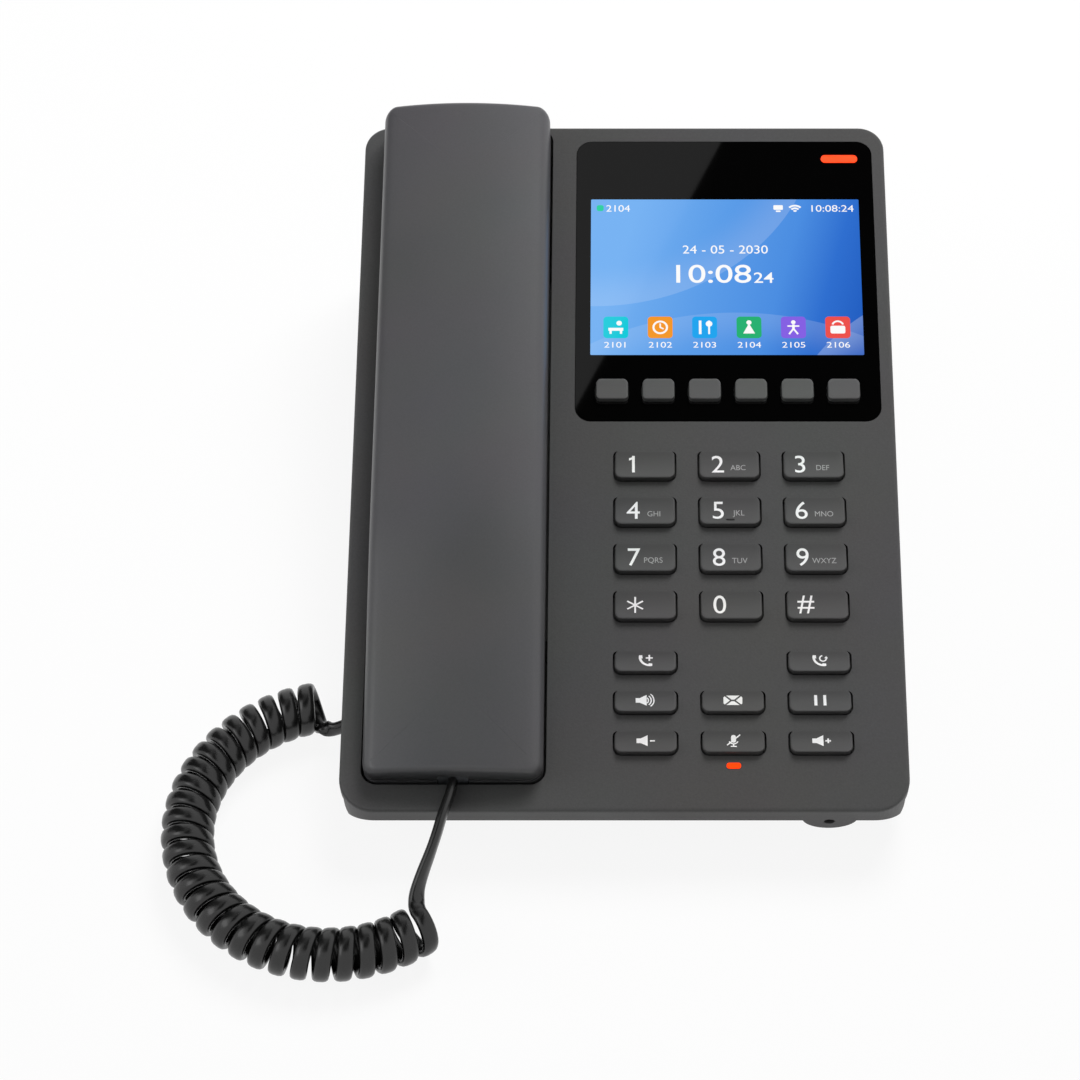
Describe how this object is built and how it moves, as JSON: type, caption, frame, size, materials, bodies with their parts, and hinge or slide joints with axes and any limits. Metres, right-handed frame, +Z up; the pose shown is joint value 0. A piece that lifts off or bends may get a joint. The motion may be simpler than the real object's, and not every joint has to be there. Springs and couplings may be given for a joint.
{
  "type": "desk ip phone",
  "caption": "Wedge-shaped desk phone with a corded handset in a cradle, a glossy black display window, soft keys, a dial pad and function keys.",
  "frame": {"origin": "centre of the footprint, on the desk under the feet", "axes": "+Z up, +Y from the low front edge to the high back, +X to the right of someone using it"},
  "size_m": [0.1895, 0.2431, 0.0748],
  "materials": {
    "charcoal_plastic": "fine moulded texture",
    "handset_plastic": "fine moulded texture",
    "key_plastic": "satin",
    "soft_key_plastic": "satin",
    "gloss_window": "high gloss",
    "display": "backlit",
    "red_light": "frosted light guide",
    "foam": "matte",
    "silicone": "matte",
    "circuit_board": "solder mask",
    "steel": "zinc plated",
    "plated_steel": "tin plated",
    "speaker_black": "satin",
    "jack_black": "satin",
    "black_rubber": "matte",
    "cord_black": "glossy jacket",
    "clear_plug": "smoked clear"
  },
  "bodies": {
    "base": {"top_case": "charcoal_plastic", "bottom_case": "charcoal_plastic", "display_window": "gloss_window", "display_gasket": "foam", "lcd_module": "display", "message_light": "red_light", "mute_light": "red_light", "keypad_mat": "silicone", "keypad_board": "circuit_board", "main_board": "circuit_board", "board_screws": "steel", "speaker": "speaker_black", "microphone_boot": "black_rubber", "base_microphone": "steel", "hook_switch": "jack_black", "network_jack": "plated_steel", "computer_jack": "plated_steel", "power_jack": "jack_black", "base_cord_jack": "jack_black", "rubber_feet": "black_rubber", "case_screws": "steel", "handset_lead": "cord_black", "cord_coil": "cord_black", "base_lead": "cord_black", "base_plug": "clear_plug"},
    "handset": {"handset_back": "handset_plastic", "handset_front": "handset_plastic", "earpiece": "speaker_black", "handset_microphone": "steel", "handset_weight": "steel", "handset_cord_jack": "jack_black", "handset_screws": "steel", "handset_plug": "clear_plug"},
    "hook": {"hook_plunger": "charcoal_plastic"},
    "soft_key_1_body": {"soft_key_1": "soft_key_plastic"},
    "soft_key_2_body": {"soft_key_2": "soft_key_plastic"},
    "soft_key_3_body": {"soft_key_3": "soft_key_plastic"},
    "soft_key_4_body": {"soft_key_4": "soft_key_plastic"},
    "soft_key_5_body": {"soft_key_5": "soft_key_plastic"},
    "soft_key_6_body": {"soft_key_6": "soft_key_plastic"},
    "digit_1_key_body": {"digit_1_key": "key_plastic"},
    "digit_2_key_body": {"digit_2_key": "key_plastic"},
    "digit_3_key_body": {"digit_3_key": "key_plastic"},
    "digit_4_key_body": {"digit_4_key": "key_plastic"},
    "digit_5_key_body": {"digit_5_key": "key_plastic"},
    "digit_6_key_body": {"digit_6_key": "key_plastic"},
    "digit_7_key_body": {"digit_7_key": "key_plastic"},
    "digit_8_key_body": {"digit_8_key": "key_plastic"},
    "digit_9_key_body": {"digit_9_key": "key_plastic"},
    "star_key_body": {"star_key": "key_plastic"},
    "digit_0_key_body": {"digit_0_key": "key_plastic"},
    "hash_key_body": {"hash_key": "key_plastic"},
    "flash_key_body": {"flash_key": "key_plastic"},
    "redial_key_body": {"redial_key": "key_plastic"},
    "speaker_key_body": {"speaker_key": "key_plastic"},
    "message_key_body": {"message_key": "key_plastic"},
    "hold_key_body": {"hold_key": "key_plastic"},
    "volume_down_key_body": {"volume_down_key": "key_plastic"},
    "mute_key_body": {"mute_key": "key_plastic"},
    "volume_up_key_body": {"volume_up_key": "key_plastic"}
  },
  "joints": [
    {"name": "handset_lift", "type": "slide", "parent": "base", "child": "handset", "axis": [0, -0.2079, 0.9781], "range_m": [0, 0.06]},
    {"name": "hook_travel", "type": "slide", "parent": "base", "child": "hook", "axis": [0, -0.2079, 0.9781], "range_m": [0, 0.003]},
    {"name": "soft_key_1_press", "type": "slide", "parent": "base", "child": "soft_key_1_body", "axis": [0, 0.2079, -0.9781], "range_m": [0, 0.0013], "stiffness_N_per_m": 400, "springref_m": -0.001},
    {"name": "soft_key_2_press", "type": "slide", "parent": "base", "child": "soft_key_2_body", "axis": [0, 0.2079, -0.9781], "range_m": [0, 0.0013], "stiffness_N_per_m": 400, "springref_m": -0.001},
    {"name": "soft_key_3_press", "type": "slide", "parent": "base", "child": "soft_key_3_body", "axis": [0, 0.2079, -0.9781], "range_m": [0, 0.0013], "stiffness_N_per_m": 400, "springref_m": -0.001},
    {"name": "soft_key_4_press", "type": "slide", "parent": "base", "child": "soft_key_4_body", "axis": [0, 0.2079, -0.9781], "range_m": [0, 0.0013], "stiffness_N_per_m": 400, "springref_m": -0.001},
    {"name": "soft_key_5_press", "type": "slide", "parent": "base", "child": "soft_key_5_body", "axis": [0, 0.2079, -0.9781], "range_m": [0, 0.0013], "stiffness_N_per_m": 400, "springref_m": -0.001},
    {"name": "soft_key_6_press", "type": "slide", "parent": "base", "child": "soft_key_6_body", "axis": [0, 0.2079, -0.9781], "range_m": [0, 0.0013], "stiffness_N_per_m": 400, "springref_m": -0.001},
    {"name": "digit_1_key_press", "type": "slide", "parent": "base", "child": "digit_1_key_body", "axis": [0, 0.2079, -0.9781], "range_m": [0, 0.0013], "stiffness_N_per_m": 400, "springref_m": -0.001},
    {"name": "digit_2_key_press", "type": "slide", "parent": "base", "child": "digit_2_key_body", "axis": [0, 0.2079, -0.9781], "range_m": [0, 0.0013], "stiffness_N_per_m": 400, "springref_m": -0.001},
    {"name": "digit_3_key_press", "type": "slide", "parent": "base", "child": "digit_3_key_body", "axis": [0, 0.2079, -0.9781], "range_m": [0, 0.0013], "stiffness_N_per_m": 400, "springref_m": -0.001},
    {"name": "digit_4_key_press", "type": "slide", "parent": "base", "child": "digit_4_key_body", "axis": [0, 0.2079, -0.9781], "range_m": [0, 0.0013], "stiffness_N_per_m": 400, "springref_m": -0.001},
    {"name": "digit_5_key_press", "type": "slide", "parent": "base", "child": "digit_5_key_body", "axis": [0, 0.2079, -0.9781], "range_m": [0, 0.0013], "stiffness_N_per_m": 400, "springref_m": -0.001},
    {"name": "digit_6_key_press", "type": "slide", "parent": "base", "child": "digit_6_key_body", "axis": [0, 0.2079, -0.9781], "range_m": [0, 0.0013], "stiffness_N_per_m": 400, "springref_m": -0.001},
    {"name": "digit_7_key_press", "type": "slide", "parent": "base", "child": "digit_7_key_body", "axis": [0, 0.2079, -0.9781], "range_m": [0, 0.0013], "stiffness_N_per_m": 400, "springref_m": -0.001},
    {"name": "digit_8_key_press", "type": "slide", "parent": "base", "child": "digit_8_key_body", "axis": [0, 0.2079, -0.9781], "range_m": [0, 0.0013], "stiffness_N_per_m": 400, "springref_m": -0.001},
    {"name": "digit_9_key_press", "type": "slide", "parent": "base", "child": "digit_9_key_body", "axis": [0, 0.2079, -0.9781], "range_m": [0, 0.0013], "stiffness_N_per_m": 400, "springref_m": -0.001},
    {"name": "star_key_press", "type": "slide", "parent": "base", "child": "star_key_body", "axis": [0, 0.2079, -0.9781], "range_m": [0, 0.0013], "stiffness_N_per_m": 400, "springref_m": -0.001},
    {"name": "digit_0_key_press", "type": "slide", "parent": "base", "child": "digit_0_key_body", "axis": [0, 0.2079, -0.9781], "range_m": [0, 0.0013], "stiffness_N_per_m": 400, "springref_m": -0.001},
    {"name": "hash_key_press", "type": "slide", "parent": "base", "child": "hash_key_body", "axis": [0, 0.2079, -0.9781], "range_m": [0, 0.0013], "stiffness_N_per_m": 400, "springref_m": -0.001},
    {"name": "flash_key_press", "type": "slide", "parent": "base", "child": "flash_key_body", "axis": [0, 0.2079, -0.9781], "range_m": [0, 0.0013], "stiffness_N_per_m": 400, "springref_m": -0.001},
    {"name": "redial_key_press", "type": "slide", "parent": "base", "child": "redial_key_body", "axis": [0, 0.2079, -0.9781], "range_m": [0, 0.0013], "stiffness_N_per_m": 400, "springref_m": -0.001},
    {"name": "speaker_key_press", "type": "slide", "parent": "base", "child": "speaker_key_body", "axis": [0, 0.2079, -0.9781], "range_m": [0, 0.0013], "stiffness_N_per_m": 400, "springref_m": -0.001},
    {"name": "message_key_press", "type": "slide", "parent": "base", "child": "message_key_body", "axis": [0, 0.2079, -0.9781], "range_m": [0, 0.0013], "stiffness_N_per_m": 400, "springref_m": -0.001},
    {"name": "hold_key_press", "type": "slide", "parent": "base", "child": "hold_key_body", "axis": [0, 0.2079, -0.9781], "range_m": [0, 0.0013], "stiffness_N_per_m": 400, "springref_m": -0.001},
    {"name": "volume_down_key_press", "type": "slide", "parent": "base", "child": "volume_down_key_body", "axis": [0, 0.2079, -0.9781], "range_m": [0, 0.0013], "stiffness_N_per_m": 400, "springref_m": -0.001},
    {"name": "mute_key_press", "type": "slide", "parent": "base", "child": "mute_key_body", "axis": [0, 0.2079, -0.9781], "range_m": [0, 0.0013], "stiffness_N_per_m": 400, "springref_m": -0.001},
    {"name": "volume_up_key_press", "type": "slide", "parent": "base", "child": "volume_up_key_body", "axis": [0, 0.2079, -0.9781], "range_m": [0, 0.0013], "stiffness_N_per_m": 400, "springref_m": -0.001}
  ],
  "couplings": [
    {"joint": "hook_travel", "follows": "handset_lift", "ratio": 0.05}
  ]
}
